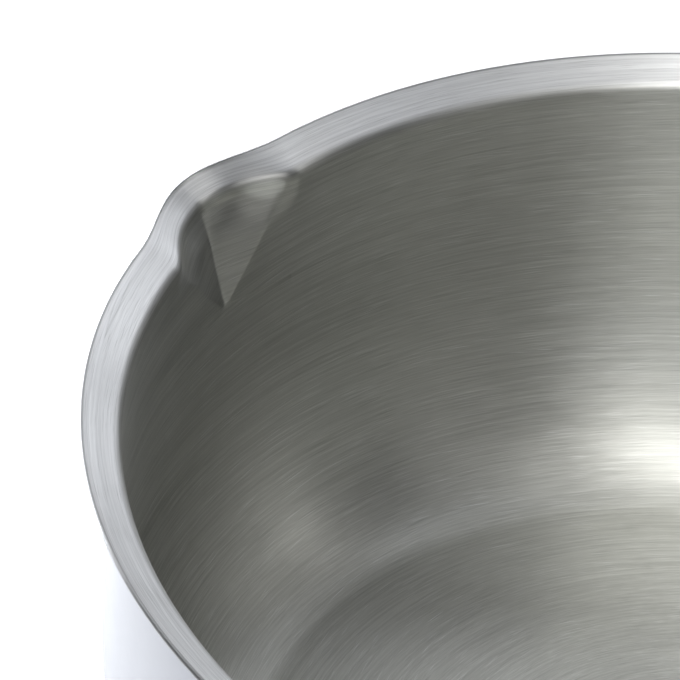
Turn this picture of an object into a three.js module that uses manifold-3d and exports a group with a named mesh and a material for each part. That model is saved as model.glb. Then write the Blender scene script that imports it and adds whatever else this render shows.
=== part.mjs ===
// Open cocotte: a drawn stainless pot with a flared bare rim and one pressed pouring beak, a white coat
// on its outside, a bonded base, and two turned wooden grips held between lugs on the wall.
// Millimetres, +Z up. The origin is the centre of the underside. The beak points to -Y, and the
// handles lie on +X (right) and -X (left).

import * as THREE from 'three';
import { mergeVertices } from 'three/addons/utils/BufferGeometryUtils.js';
import Module from 'manifold-3d';

const wasm = await Module();
wasm.setup();

// Drawn sheet
const INNER_RADIUS = 90;
const DEPTH = 66.4; // rim's edge down to the inside bottom
const SHEET = 0.6;
const CORNER_REACH = 19.6; // rounded corner, across the bottom
const CORNER_RISE = 33.2; // rounded corner, up the wall

// Flared rim
const RIM_REACH = 5.6; // inner wall out to the rim's edge
const FLARE_ANGLE = THREE.MathUtils.degToRad(26); // rise of the flare above level
const BEND_UNDER = 1.3; // radius left under the coat, where the wall turns into the flare

// Pouring beak: two flat facets that meet in a fold, run out at one foot on the wall, and open at the top
// into a rounded mouth
const BEAK_REACH = 4.7; // fold's push outward, where the flare begins
const BEAK_HALF_WIDTH = 12.85; // fold to crease, where the flare begins
const BEAK_LENGTH = 13.8; // from there down to the beak's foot
const FOOT_HALF_WIDTH = 0.9;
const CREASE_BULGE = 0.93; // below 1, the creases bow out from a straight line
const MOUTH_START = 0.78; // share of the beak's height at which its facets begin to open
const MOUTH_REACH = 5.5; // mouth's push outward, where the flare begins
const MOUTH_HALF_WIDTH = 16;
const LIP_REACH = 3; // push outward of the rim's edge
const LIP_HALF_WIDTH = 18; // length of rim's edge that bows out, on either side
const SHOULDER_SPREAD = 1.3; // reach of the finer columns, in widths of the mouth

// White coat
const COAT = 0.25;
const COAT_GAP = 0.05;
const COAT_MARGIN = 1.2; // bare steel left under the rim's edge

// Bonded base
const CAP_INSET = 2.4; // edge of the flat bottom in to the cap's wall
const CAP_SHEET = 0.8;
const CAP_CORNER = 2.5; // outer radius of the cap's edge, past its sheet
const CORE_THICKNESS = 4;
const BOND_GAP = 0.1;

// Handles
const SEAT_GAP = 0.3; // between pieces that are clamped or welded together
const BORE_CLEARANCE = 0.3; // round the tie rod
const ROD_RADIUS = 2.5;
const GRIP_LENGTH = 64;
const GRIP_MID_RADIUS = 9.5;
const GRIP_END_RADIUS = 7.5;
const GRIP_EDGE = 1.2; // rounding of the grip's end edges
const FINGER_GAP = 24; // coat to grip
const LUG_SHEET = 3;
const EYE_RING = 4.7; // metal round the lug's hole
const LUG_ROOT = 20; // height of the lug where it meets its foot
const LUG_WAIST = 0.35; // place of the lug's narrowing, as a share of its length from the foot
const FOOT_SHEET = 2;
const FOOT_WIDTH = 13;
const FOOT_HEIGHT = 24;
const FOOT_CORNER = 4;
const FOOT_DROP = 6.9; // start of the rim's bend down to the foot's top
const WASHER_RING = 2.4; // washer's ring past its hole
const WASHER_THICKNESS = 1;
const NUT_WALL = 1.2; // bore to a flat of the hexagon
const DOME_WALL = 0.9; // bore to the dome's side
const NUT_HEX = 4.5; // height of the hexagon
const NUT_NECK = 1; // straight part of the dome above it

// Facets
const CORNER_ROWS = 6;
const BEAK_ROWS = 7;
const BEND_ROWS = 3;
const FACET_COLUMNS = 5; // from the fold to a crease
const SHOULDER_COLUMNS = 3; // from a crease to the plain wall
const ROUND_COLUMNS = 20; // from there half way round the pot
const TURNED_SIDES = 48; // base
const WALL_SIDES = 96; // round the whole wall, for the face of a lug's foot
const GRIP_SIDES = 18;
const FASTENER_SIDES = 12;
const ARC_STEPS = 2; // in each part of a turned profile
const OUTLINE_STEPS = 6; // in each curve of a lug's outline

// Heights and radii that follow
const coreBottom = CAP_SHEET + BOND_GAP;
const coreTop = coreBottom + CORE_THICKNESS;
const shellBottom = coreTop + BOND_GAP;
const floorHeight = shellBottom + SHEET;
const rimHeight = floorHeight + DEPTH;
const flatRadius = INNER_RADIUS - CORNER_REACH;
const cornerTop = floorHeight + CORNER_RISE;
const rimRadius = INNER_RADIUS + RIM_REACH;
const coatInner = SHEET + COAT_GAP;
const coatOuter = coatInner + COAT;
const bendRadius = coatOuter + BEND_UNDER;
const bendEndRadius = INNER_RADIUS + bendRadius * (1 - Math.sin(FLARE_ANGLE));
const flareRise = (rimRadius - bendEndRadius) * Math.tan(FLARE_ANGLE);
const bendStart = rimHeight - flareRise - bendRadius * Math.cos(FLARE_ANGLE);
const beakFoot = bendStart - BEAK_LENGTH;
const wallRadius = INNER_RADIUS + coatOuter;

// Turns away from the fold, seen from the pot's axis
const mouthTurn = MOUTH_HALF_WIDTH / INNER_RADIUS;
const lipTurn = LIP_HALF_WIDTH / rimRadius;
const shoulderTurn = SHOULDER_SPREAD * mouthTurn;
const footTurn = FOOT_HALF_WIDTH / INNER_RADIUS;

const { lerp, smoothstep } = THREE.MathUtils;
const clamp01 = (value) => THREE.MathUtils.clamp(value, 0, 1);

// Share of the beak's height on the wall: 0 at its foot, 1 where the flare begins.
const beakShare = (height) => clamp01((height - beakFoot) / BEAK_LENGTH);

// Share of the facets' opening into the mouth.
const mouthShare = (share) => smoothstep(share, MOUTH_START, 1);

// Way round the wall from the fold to the crease.
const creaseAway = (share) => BEAK_HALF_WIDTH * share ** CREASE_BULGE;

// Outward push of a flat facet that runs straight from the fold to its crease on the round wall.
function facetPush(turn, share) {
  const away = Math.abs(turn) * INNER_RADIUS;
  const width = creaseAway(share);
  if (away >= width) return 0;
  return Math.max(0, BEAK_REACH * share * (1 - away / width) - (away * (width - away)) / (2 * INNER_RADIUS));
}

// A bow with its top at the fold, which dies away smoothly on both sides.
const bow = (turn, halfTurn) => (1 + Math.cos(Math.PI * clamp01(Math.abs(turn) / halfTurn))) / 2;

// Outward push of the wall: flat facets that open into the rounded mouth, where the flare begins.
function wallPush(turn, height) {
  const share = beakShare(height);
  return lerp(facetPush(turn, share), MOUTH_REACH * bow(turn, mouthTurn), mouthShare(share));
}

// Outward push of the rim's edge.
const lipPush = (turn) => LIP_REACH * bow(turn, lipTurn);

// Rows of the sheet, from a start on the bottom out to the coat's end under the flare. Each is a point of
// the inner face with the direction through the sheet, its share of the flare, and the turn that the
// beak's columns fan out to.
function sheetRows(startRadius) {
  const rows = [{ radius: startRadius, height: floorHeight, through: [0, -1], flare: 0, fan: mouthTurn }];
  for (let step = 0; step <= CORNER_ROWS; step += 1) {
    const angle = (Math.PI / 2) * (step / CORNER_ROWS);
    const radius = flatRadius + CORNER_REACH * Math.sin(angle);
    const height = cornerTop - CORNER_RISE * Math.cos(angle);
    const normal = new THREE.Vector2(CORNER_RISE * Math.sin(angle), -CORNER_REACH * Math.cos(angle));
    rows.push({ radius, height, through: normal.normalize().toArray(), flare: 0, fan: mouthTurn });
  }
  for (let step = 0; step <= BEAK_ROWS; step += 1) {
    const share = step / BEAK_ROWS;
    const height = beakFoot + BEAK_LENGTH * share;
    const fan = Math.max(footTurn, lerp(creaseAway(share) / INNER_RADIUS, mouthTurn, mouthShare(share)));
    rows.push({ radius: INNER_RADIUS, height, through: [1, 0], flare: 0, fan });
  }
  for (let step = 1; step <= BEND_ROWS; step += 1) {
    const angle = Math.PI - (Math.PI / 2 - FLARE_ANGLE) * (step / BEND_ROWS);
    const radius = INNER_RADIUS + bendRadius * (1 + Math.cos(angle));
    const height = bendStart + bendRadius * Math.sin(angle);
    rows.push(flareRow(radius, height, [-Math.cos(angle), -Math.sin(angle)]));
  }
  rows.push(straightFlareRow(COAT_MARGIN));
  return rows;
}

function flareRow(radius, height, through) {
  const flare = (radius - INNER_RADIUS) / RIM_REACH;
  return { radius, height, through, flare, fan: lerp(mouthTurn, lipTurn, flare) };
}

// Row on the straight part of the flare, a given way in from the rim's edge.
function straightFlareRow(margin) {
  const height = rimHeight - margin * Math.tan(FLARE_ANGLE);
  return flareRow(rimRadius - margin, height, [Math.sin(FLARE_ANGLE), -Math.cos(FLARE_ANGLE)]);
}

// Columns on one side of the fold: 0 to 1 over a facet, 1 to 2 over the shoulder, 2 to 3 to the back.
function columnsOnOneSide() {
  const columns = [];
  for (let step = 1; step <= FACET_COLUMNS; step += 1) columns.push(step / FACET_COLUMNS);
  for (let step = 1; step <= SHOULDER_COLUMNS; step += 1) columns.push(1 + step / SHOULDER_COLUMNS);
  for (let step = 1; step < ROUND_COLUMNS; step += 1) columns.push(2 + step / ROUND_COLUMNS);
  return columns;
}

function columnTurn(column, fan) {
  const side = Math.sign(column);
  const place = Math.abs(column);
  if (place <= 1) return side * place * fan;
  if (place <= 2) return side * lerp(fan, shoulderTurn, place - 1);
  return side * lerp(shoulderTurn, Math.PI, place - 2);
}

// Closed body between two depths through the sheet, lofted round the pot with the beak pressed into it.
function pressedSheet(rows, nearDepth, farDepth) {
  const oneSide = columnsOnOneSide();
  const columns = [0, ...oneSide, 3, ...oneSide.map((column) => -column).reverse()];
  const near = rows.map((row) => ({ ...row, depth: nearDepth }));
  const far = rows.map((row) => ({ ...row, depth: farDepth })).reverse();
  const loop = [...near, ...far];
  const positions = [];
  const rings = loop.map((row) => {
    const onAxis = row.radius === 0;
    const first = positions.length / 3;
    for (const column of onAxis ? [0] : columns) {
      const turn = columnTurn(column, row.fan);
      const push = lerp(wallPush(turn, row.height), lipPush(turn), row.flare);
      const radius = row.radius + row.depth * row.through[0] + push;
      const height = row.height + row.depth * row.through[1];
      positions.push(radius * Math.sin(turn), -radius * Math.cos(turn), height);
    }
    return (column) => (onAxis ? first : first + (column % columns.length));
  });
  const index = [];
  const addTriangle = (a, b, c) => {
    if (a !== b && b !== c && c !== a) index.push(a, b, c);
  };
  const bands = rows[0].radius === 0 ? loop.length - 1 : loop.length;
  for (let band = 0; band < bands; band += 1) {
    const low = rings[band];
    const high = rings[(band + 1) % loop.length];
    for (let column = 0; column < columns.length; column += 1) {
      // The cut across each four-sided facet mirrors about the fold and matches on both faces.
      const next = column + 1;
      const leansBack = (band >= near.length) !== (next > columns.length / 2);
      addTriangle(low(column), leansBack ? high(column) : high(next), low(next));
      addTriangle(leansBack ? low(next) : low(column), high(column), high(next));
    }
  }
  const geometry = new THREE.BufferGeometry();
  geometry.setAttribute('position', new THREE.Float32BufferAttribute(positions, 3));
  geometry.setIndex(index);
  return geometry;
}

// Merges shared corners and drops the slivers where a profile meets its axis.
function closedGeometry(geometry) {
  geometry.deleteAttribute('normal');
  geometry.deleteAttribute('uv');
  const merged = mergeVertices(geometry);
  const kept = [];
  for (let corner = 0; corner < merged.index.count; corner += 3) {
    const [a, b, c] = merged.index.array.slice(corner, corner + 3);
    if (a !== b && b !== c && c !== a) kept.push(a, b, c);
  }
  merged.setIndex(kept);
  return merged;
}

function toSolid(geometry) {
  const merged = closedGeometry(geometry);
  const vertProperties = Float32Array.from(merged.attributes.position.array);
  const triVerts = Uint32Array.from(merged.index.array);
  return new wasm.Manifold(new wasm.Mesh({ numProp: 3, vertProperties, triVerts }));
}

function toGeometry(solid) {
  const mesh = solid.getMesh();
  const geometry = new THREE.BufferGeometry();
  geometry.setAttribute('position', new THREE.Float32BufferAttribute(mesh.vertProperties, mesh.numProp));
  geometry.setIndex(new THREE.Uint32BufferAttribute(mesh.triVerts, 1));
  return geometry;
}

const turnedAlongY = (points, sides) => new THREE.LatheGeometry(points, sides);
const turnedAlongZ = (points, sides) => turnedAlongY(points, sides).rotateX(Math.PI / 2);

// Rectangular ring section that closes on itself.
function ringProfile(inner, outer, low, high) {
  const corners = [[inner, low], [outer, low], [outer, high], [inner, high], [inner, low]];
  return corners.map(([radius, height]) => new THREE.Vector2(radius, height));
}

function heatSpreader() {
  const radius = flatRadius - CAP_INSET - CAP_SHEET - BOND_GAP;
  const edge = CAP_CORNER + BOND_GAP;
  const profile = new THREE.Path();
  profile.moveTo(0, coreBottom);
  profile.lineTo(radius - edge, coreBottom);
  profile.absarc(radius - edge, coreBottom + edge, edge, -Math.PI / 2, 0, false);
  profile.lineTo(radius, coreTop);
  profile.lineTo(0, coreTop);
  return closedGeometry(turnedAlongZ(profile.getPoints(ARC_STEPS), TURNED_SIDES));
}

function baseCap() {
  const radius = flatRadius - CAP_INSET;
  const innerRadius = radius - CAP_SHEET;
  const outerEdge = CAP_CORNER + CAP_SHEET;
  const edgeCentre = radius - outerEdge;
  const profile = new THREE.Path();
  profile.moveTo(0, 0);
  profile.lineTo(edgeCentre, 0);
  profile.absarc(edgeCentre, outerEdge, outerEdge, -Math.PI / 2, 0, false);
  profile.lineTo(radius, coreTop);
  profile.lineTo(innerRadius, coreTop);
  profile.absarc(edgeCentre, outerEdge, CAP_CORNER, 0, -Math.PI / 2, true);
  profile.lineTo(0, CAP_SHEET);
  return closedGeometry(turnedAlongZ(profile.getPoints(ARC_STEPS), TURNED_SIDES));
}

// Handle sizes that follow, measured along the tie rod (Y) from the handle's middle
const boreRadius = ROD_RADIUS + BORE_CLEARANCE;
const eyeRadius = boreRadius + EYE_RING;
const rodReach = wallRadius + FINGER_GAP + GRIP_MID_RADIUS;
const rodHeight = bendStart - FOOT_DROP - FOOT_HEIGHT / 2;
const lugInside = GRIP_LENGTH / 2 + SEAT_GAP;
const lugOutside = lugInside + LUG_SHEET;
const washerInside = lugOutside + SEAT_GAP;
const nutInside = washerInside + WASHER_THICKNESS + SEAT_GAP;
const nutBore = NUT_HEX + NUT_NECK;
const rodHalfLength = nutInside + nutBore - SEAT_GAP;

function grip() {
  const half = GRIP_LENGTH / 2;
  const shoulder = half - GRIP_EDGE;
  const profile = new THREE.Path();
  profile.moveTo(boreRadius, -half);
  profile.lineTo(GRIP_END_RADIUS - GRIP_EDGE, -half);
  profile.quadraticCurveTo(GRIP_END_RADIUS, -half, GRIP_END_RADIUS, -shoulder);
  profile.quadraticCurveTo(GRIP_MID_RADIUS, -shoulder / 2, GRIP_MID_RADIUS, 0);
  profile.quadraticCurveTo(GRIP_MID_RADIUS, shoulder / 2, GRIP_END_RADIUS, shoulder);
  profile.quadraticCurveTo(GRIP_END_RADIUS, half, GRIP_END_RADIUS - GRIP_EDGE, half);
  profile.lineTo(boreRadius, half);
  profile.lineTo(boreRadius, -half);
  return closedGeometry(turnedAlongY(profile.getPoints(ARC_STEPS), GRIP_SIDES));
}

function tieRod() {
  const length = 2 * rodHalfLength;
  return closedGeometry(new THREE.CylinderGeometry(ROD_RADIUS, ROD_RADIUS, length, FASTENER_SIDES));
}

function washer() {
  const profile = ringProfile(boreRadius, boreRadius + WASHER_RING, 0, WASHER_THICKNESS);
  return closedGeometry(turnedAlongY(profile, FASTENER_SIDES));
}

function capNut() {
  const hexRadius = (boreRadius + NUT_WALL) / Math.cos(Math.PI / 6);
  const domeRadius = boreRadius + DOME_WALL;
  const hexagon = new THREE.CylinderGeometry(hexRadius, hexRadius, NUT_HEX, 6).translate(0, NUT_HEX / 2, 0);
  const domeProfile = new THREE.Path();
  domeProfile.moveTo(0, NUT_HEX / 2);
  domeProfile.lineTo(domeRadius, NUT_HEX / 2);
  domeProfile.lineTo(domeRadius, nutBore);
  domeProfile.absarc(0, nutBore, domeRadius, 0, Math.PI / 2, false);
  const dome = turnedAlongY(domeProfile.getPoints(ARC_STEPS), FASTENER_SIDES);
  const bore = new THREE.CylinderGeometry(boreRadius, boreRadius, 2 * nutBore, FASTENER_SIDES);
  return toGeometry(toSolid(hexagon).add(toSolid(dome)).subtract(toSolid(bore)));
}

// Waisted side outline of a lug, from inside the wall out to the eye round the tie rod.
function lugOutline() {
  const rootReach = INNER_RADIUS * Math.cos(Math.asin(lugOutside / INNER_RADIUS));
  const waistReach = lerp(rootReach, rodReach, LUG_WAIST);
  const tangentTurn = Math.acos(eyeRadius / (rodReach - waistReach));
  const outline = new THREE.Shape();
  const tangent = new THREE.Vector2(
    rodReach - eyeRadius * Math.cos(tangentTurn),
    eyeRadius * Math.sin(tangentTurn),
  );
  outline.moveTo(rootReach - LUG_SHEET, -LUG_ROOT / 2);
  outline.lineTo(rootReach, -LUG_ROOT / 2);
  outline.quadraticCurveTo(waistReach, -eyeRadius, tangent.x, -tangent.y);
  outline.absarc(rodReach, 0, eyeRadius, Math.PI + tangentTurn, 3 * Math.PI - tangentTurn, false);
  outline.quadraticCurveTo(waistReach, eyeRadius, rootReach, LUG_ROOT / 2);
  outline.lineTo(rootReach - LUG_SHEET, LUG_ROOT / 2);
  outline.holes.push(new THREE.Path().absarc(rodReach, 0, boreRadius, 0, 2 * Math.PI, true));
  return outline;
}

function roundedRectangle(left, right, halfHeight, corner) {
  const outline = new THREE.Shape();
  outline.moveTo(left + corner, -halfHeight);
  outline.absarc(right - corner, -halfHeight + corner, corner, -Math.PI / 2, 0, false);
  outline.absarc(right - corner, halfHeight - corner, corner, 0, Math.PI / 2, false);
  outline.absarc(left + corner, halfHeight - corner, corner, Math.PI / 2, Math.PI, false);
  outline.absarc(left + corner, -halfHeight + corner, corner, Math.PI, (3 * Math.PI) / 2, false);
  return outline;
}

// Lug at the +Y end: an upright ear on a foot that follows the wall. Heights count from the tie rod.
function lug() {
  const seatRadius = wallRadius + SEAT_GAP;
  const extrude = { bevelEnabled: false, curveSegments: OUTLINE_STEPS };
  const ear = new THREE.ExtrudeGeometry(lugOutline(), { ...extrude, depth: LUG_SHEET });
  ear.rotateX(Math.PI / 2).translate(0, lugOutside, 0);
  const footOutline = roundedRectangle(lugInside, lugInside + FOOT_WIDTH, FOOT_HEIGHT / 2, FOOT_CORNER);
  const footBlock = new THREE.ExtrudeGeometry(footOutline, { ...extrude, depth: rodReach });
  footBlock.rotateY(Math.PI / 2).rotateX(Math.PI / 2);
  const tall = Math.max(FOOT_HEIGHT, LUG_ROOT);
  const bandProfile = ringProfile(seatRadius, seatRadius + FOOT_SHEET, -tall, tall);
  const band = turnedAlongZ(bandProfile, WALL_SIDES);
  const drum = new THREE.CylinderGeometry(seatRadius, seatRadius, 2 * tall, WALL_SIDES).rotateX(Math.PI / 2);
  const foot = toSolid(band).intersect(toSolid(footBlock));
  return toGeometry(toSolid(ear).subtract(toSolid(drum)).add(foot));
}

// Finishes
function finish(color, roughness, metalness) {
  return new THREE.MeshStandardMaterial({ color, roughness, metalness });
}

const brushedSteel = finish(0xb4b5b4, 0.38, 1);
const whiteCoat = finish(0xedf1f8, 0.2, 0);
const aluminium = finish(0xc6c8ca, 0.5, 1);
const lugCoat = finish(0xedf1f8, 0.25, 0);
const wood = finish(0xb98a5a, 0.6, 0);
const fastenerSteel = finish(0xc9cacb, 0.25, 1);

const cocotte = new THREE.Group();

function addPiece(parent, name, geometry, material) {
  const mesh = new THREE.Mesh(geometry, material);
  mesh.name = name;
  parent.add(mesh);
  return mesh;
}

// Two handles, each with a grip and a tie rod, and a lug, washer and cap nut at either end of them.
function addHandle(side, facing) {
  const handle = new THREE.Group();
  handle.rotation.z = facing > 0 ? 0 : Math.PI;
  cocotte.add(handle);
  const rodLine = new THREE.Group();
  rodLine.position.set(rodReach, 0, rodHeight);
  handle.add(rodLine);
  addPiece(rodLine, `${side}_grip`, grip(), wood);
  addPiece(rodLine, `${side}_tie_rod`, tieRod(), fastenerSteel);
  for (const end of [1, -1]) {
    const place = end * facing > 0 ? 'rear' : 'front';
    const turned = end > 0 ? 0 : Math.PI;
    const lugMesh = addPiece(handle, `${side}_${place}_lug`, lug(), lugCoat);
    lugMesh.position.z = rodHeight;
    lugMesh.rotation.x = turned;
    const washerMesh = addPiece(rodLine, `${side}_${place}_washer`, washer(), fastenerSteel);
    washerMesh.position.y = end * washerInside;
    washerMesh.rotation.x = turned;
    const nutMesh = addPiece(rodLine, `${side}_${place}_cap_nut`, capNut(), fastenerSteel);
    nutMesh.position.y = end * nutInside;
    nutMesh.rotation.x = turned;
  }
}

const coatStart = flatRadius - CAP_INSET / 2;
const shellRows = [...sheetRows(0), straightFlareRow(0)];
addPiece(cocotte, 'pot_shell', pressedSheet(shellRows, 0, SHEET), brushedSteel);
addPiece(cocotte, 'enamel_coat', pressedSheet(sheetRows(coatStart), coatInner, coatOuter), whiteCoat);
addPiece(cocotte, 'heat_spreader', heatSpreader(), aluminium);
addPiece(cocotte, 'base_cap', baseCap(), brushedSteel);
addHandle('right', 1);
addHandle('left', -1);

export default cocotte;
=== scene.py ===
"""Looks of the open cocotte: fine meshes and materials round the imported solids, a floor and lights.

Metres, +Z up, the solids' own frame: the beak points to -Y, and the handles lie on +X and -X.
The camera is fitted to the photograph's view.
"""
import math
from collections import namedtuple

import bpy
import numpy as np
from mathutils import Matrix, Vector


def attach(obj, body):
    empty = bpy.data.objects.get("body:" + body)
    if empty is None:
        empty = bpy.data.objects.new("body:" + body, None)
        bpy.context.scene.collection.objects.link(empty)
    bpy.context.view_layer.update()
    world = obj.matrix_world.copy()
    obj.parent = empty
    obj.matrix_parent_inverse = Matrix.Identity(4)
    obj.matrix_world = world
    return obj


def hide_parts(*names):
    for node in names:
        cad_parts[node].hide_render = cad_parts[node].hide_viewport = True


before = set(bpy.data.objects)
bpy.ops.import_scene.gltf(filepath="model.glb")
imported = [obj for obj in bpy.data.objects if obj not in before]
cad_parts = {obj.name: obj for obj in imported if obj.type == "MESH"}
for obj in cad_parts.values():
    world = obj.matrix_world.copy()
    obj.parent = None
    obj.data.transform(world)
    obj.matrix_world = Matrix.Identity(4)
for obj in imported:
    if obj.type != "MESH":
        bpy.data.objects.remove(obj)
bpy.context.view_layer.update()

MM = 0.001

# Drawn sheet, with the sizes of the solids
INNER_RADIUS = 90 * MM
SHEET = 0.6 * MM
FLOOR_HEIGHT = 5.6 * MM  # inside bottom
RIM_HEIGHT = 72 * MM
CORNER_REACH = 19.6 * MM
CORNER_RISE = 33.2 * MM
FLAT_RADIUS = INNER_RADIUS - CORNER_REACH
CORNER_TOP = FLOOR_HEIGHT + CORNER_RISE

# The rounded corner starts this far along its arc, so the bottom ends in a soft line of this half width
CORNER_LEAN = math.radians(9)
CORNER_LINE = 1.2 * MM

# Flared rim
RIM_REACH = 5.6 * MM
RIM_RADIUS = INNER_RADIUS + RIM_REACH
FLARE_ANGLE = math.radians(26)
BEND_RADIUS = 2.2 * MM
BEND_END = INNER_RADIUS + BEND_RADIUS * (1 - math.sin(FLARE_ANGLE))
FLARE_RISE = (RIM_RADIUS - BEND_END) * math.tan(FLARE_ANGLE)
BEND_START = RIM_HEIGHT - FLARE_RISE - BEND_RADIUS * math.cos(FLARE_ANGLE)

# Pouring beak
BEAK_REACH = 4.7 * MM  # of the fold between the two facets, where the wall ends
BEAK_HALF_WIDTH = 12.85 * MM
BEAK_LENGTH = 13.8 * MM
BEAK_FOOT = BEND_START - BEAK_LENGTH
CREASE_BULGE = 0.93  # below 1, the creases bow out from a straight line
LEAST_SHARE = 0.001  # keeps a facet's width above 0 at the beak's foot
FACET_END = 1.4  # widths of a facet past which the wall is plainly round
VALLEY_ROUND = 0.6 * MM  # rounding of the fold
CREASE_ROUND = 0.05 * MM
CREASE_GROWTH = 3  # the creases' rounding is whole from one part in this many of the beak's height
MOUTH_START = 0.6  # share of the beak's height at which the facets begin to open into the mouth
MOUTH_REACH = 5.2 * MM
MOUTH_HALF_WIDTH = 16 * MM
MOUTH_OPENING = 0.65  # how far the facets have turned into the mouth's broad bow where the flare begins
MOUTH_TURN = MOUTH_HALF_WIDTH / INNER_RADIUS
LIP_REACH = 3 * MM
LIP_HALF_WIDTH = 18 * MM
LIP_TURN = LIP_HALF_WIDTH / RIM_RADIUS
SHOULDER_SPREAD = 1.3  # reach of the finer columns, in widths of the mouth
SHOULDER_TURN = SHOULDER_SPREAD * MOUTH_TURN
FOOT_TURN = 0.9 * MM / INNER_RADIUS  # narrowest spread of a facet's columns, at the beak's foot

# White coat, measured through the sheet from its inner face
COAT_NEAR = 0.65 * MM
COAT_FAR = 0.9 * MM
COAT_MARGIN = 1.2 * MM  # bare steel under the rim's edge
COAT_LAP = 1.2 * MM  # reach under the flat bottom
COAT_START = FLAT_RADIUS - COAT_LAP

# Fineness of the pressed sheet's mesh
BOTTOM_ROWS = 9
CORNER_ROWS = 26
WALL_ROWS = 7
BEAK_ROWS = 36
BEND_ROWS = 16
FLARE_ROWS = 10
FEWEST_ROWS = 3
OUTSIDE_FINENESS = 0.5
COAT_FINENESS = 0.7
FACET_COLUMNS = 28
SHOULDER_COLUMNS = 20
BACK_COLUMNS = 90
EDGE_STEPS = 7
COAT_EDGE_STEPS = 5
POLE_RADIUS = 1 * MM  # of the ring round a pole

# Base cap
CAP_RADIUS = FLAT_RADIUS - 2.4 * MM
CAP_SHEET = 0.8 * MM
CAP_EDGE = 3.3 * MM
CAP_TOP = 4.9 * MM
CAP_SIDES = 160

# Handles, measured along the tie rod from the handle's middle
ROD_REACH = 124.4 * MM
ROD_HEIGHT = BEND_START - 18.9 * MM
BORE_RADIUS = 2.8 * MM
HOLE_SIDES = 48
GRIP_HALF = 32 * MM
GRIP_MID_RADIUS = 9.35 * MM
GRIP_END_RADIUS = 7.4 * MM
GRIP_EDGE = 1.2 * MM
GRIP_BORE_EDGE = 0.4 * MM
GRIP_SIDES = 56
LUG_INSIDE = 32.3 * MM
LUG_SHEET = 3 * MM
LUG_OUTSIDE = LUG_INSIDE + LUG_SHEET
LUG_EDGE = 0.5 * MM
LUG_ROOT = 20 * MM
LUG_WAIST = 0.35
EAR_START = 85.9 * MM  # from the pot's middle, inside the foot's sheet
EYE_RADIUS = 7.5 * MM
SEAT_RADIUS = 91.2 * MM
FOOT_SHEET = 2 * MM
FOOT_WIDTH = 13 * MM
FOOT_HEIGHT = 24 * MM
FOOT_CORNER = 4 * MM
FOOT_EDGE = 0.5 * MM
FOOT_FACE_SHARES = (0.15, 0.4, 0.65, 0.85)  # rings across the foot's face, as shares of its outline
FOOT_BACK_SHARES = (1, 0.85, 0.5, 0.15)
WELD_RADIUS = 0.9 * MM
WELD_SIDES = 12
WELD_STEPS = 41
WELD_END_POWER = 12  # higher for blunter ends
WELD_END_LEAST = 0.02
WELD_UNEVENNESS = 0.08
WELD_RIPPLES = 40
WASHER_INSIDE = 35.6 * MM
WASHER_RADIUS = 5.2 * MM
WASHER_THICKNESS = 1 * MM
WASHER_EDGE = 0.2 * MM
WASHER_SIDES = 48
NUT_INSIDE = 36.9 * MM
NUT_HALF_FLATS = 4 * MM
NUT_HEX = 4.5 * MM
NUT_NECK = 1 * MM
NUT_NECK_EDGE = 0.15 * MM
NUT_BORE_EDGE = 0.3 * MM
NUT_BORE_POLE = 0.2 * MM
NUT_CHAMFER_CUT = 0.15 * MM  # how far the chamfer reaches inside the flats
NUT_CHAMFER_SLOPE = 0.5
NUT_CHAMFER_STEPS = 6
NUT_SIDES = 96
DOME_RADIUS = 3.7 * MM
SHADING_WEIGHT = 80

# Brushed steel: colours, then lengths along and widths across the brushing
# The wall's colours are painted shade and the rim's much lighter colours are painted highlight on the
# one steel sheet; within each pair, dark and light are the brush streaks
WALL_SHADE_DARK = (0.46, 0.463, 0.44, 1)
WALL_SHADE_LIGHT = (0.58, 0.584, 0.556, 1)
RIM_SHEEN_DARK = (0.70, 0.705, 0.71, 1)
RIM_SHEEN_LIGHT = (0.92, 0.925, 0.93, 1)
HAIR_DARK = (0.24, 0.243, 0.232, 1)
HAIR_LIGHT = (0.86, 0.86, 0.85, 1)
SCRATCH_LIGHT = (0.95, 0.96, 0.97, 1)
# Painted shade along the sheet's rolled cut edge
EDGE_SHADE_TINT = (0.2, 0.2, 0.2, 1)
EDGE_SHADE_SHARE = 0.8  # share of the painted shade on the cut edge
# Heights over which the painted highlight of the rim takes over from the painted shade of the wall
RIM_SHEEN_START = BEND_START + 0.8 * MM
RIM_SHEEN_FULL = BEND_START + 2 * MM
HAIR_LENGTH = 9 * MM
HAIR_WIDTH = 0.12 * MM
HAIR_SLOPE = 0.06
SCRATCH_LENGTH = 12 * MM
SCRATCH_WIDTH = 0.1 * MM
SCRATCH_SLOPE = 0.1
STREAK_LENGTH = 40 * MM
STREAK_WIDTH = 0.35 * MM
BROAD_LENGTH = 60 * MM
BROAD_WIDTH = 3.5 * MM
BRUSH_DETAIL = 2
BRUSH_ROUGHNESS = 0.6
GROOVE_HAIR = 0.3  # share of the hairlines in the grooves, next to the streaks
GROOVE_DEPTH = 0.016 * MM

# Other colours
ENAMEL_DARK = (0.59, 0.61, 0.67, 1)
ENAMEL_LIGHT = (0.63, 0.65, 0.70, 1)
WOOD_DARK = (0.36, 0.19, 0.085, 1)
WOOD_LIGHT = (0.56, 0.34, 0.17, 1)
WOOD_STAIN = (0.30, 0.15, 0.065, 1)
WOOD_PORE = (0.16, 0.075, 0.03, 1)
POLISHED_DARK = (0.62, 0.62, 0.61, 1)
POLISHED_LIGHT = (0.72, 0.72, 0.71, 1)
ALUMINIUM_DARK = (0.70, 0.71, 0.72, 1)
ALUMINIUM_LIGHT = (0.80, 0.81, 0.82, 1)
FLOOR_DARK = (0.90, 0.90, 0.90, 1)
FLOOR_LIGHT = (0.93, 0.93, 0.93, 1)

# Range that most of a noise lies in
NOISE_LOW = 0.3
NOISE_HIGH = 0.7

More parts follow.
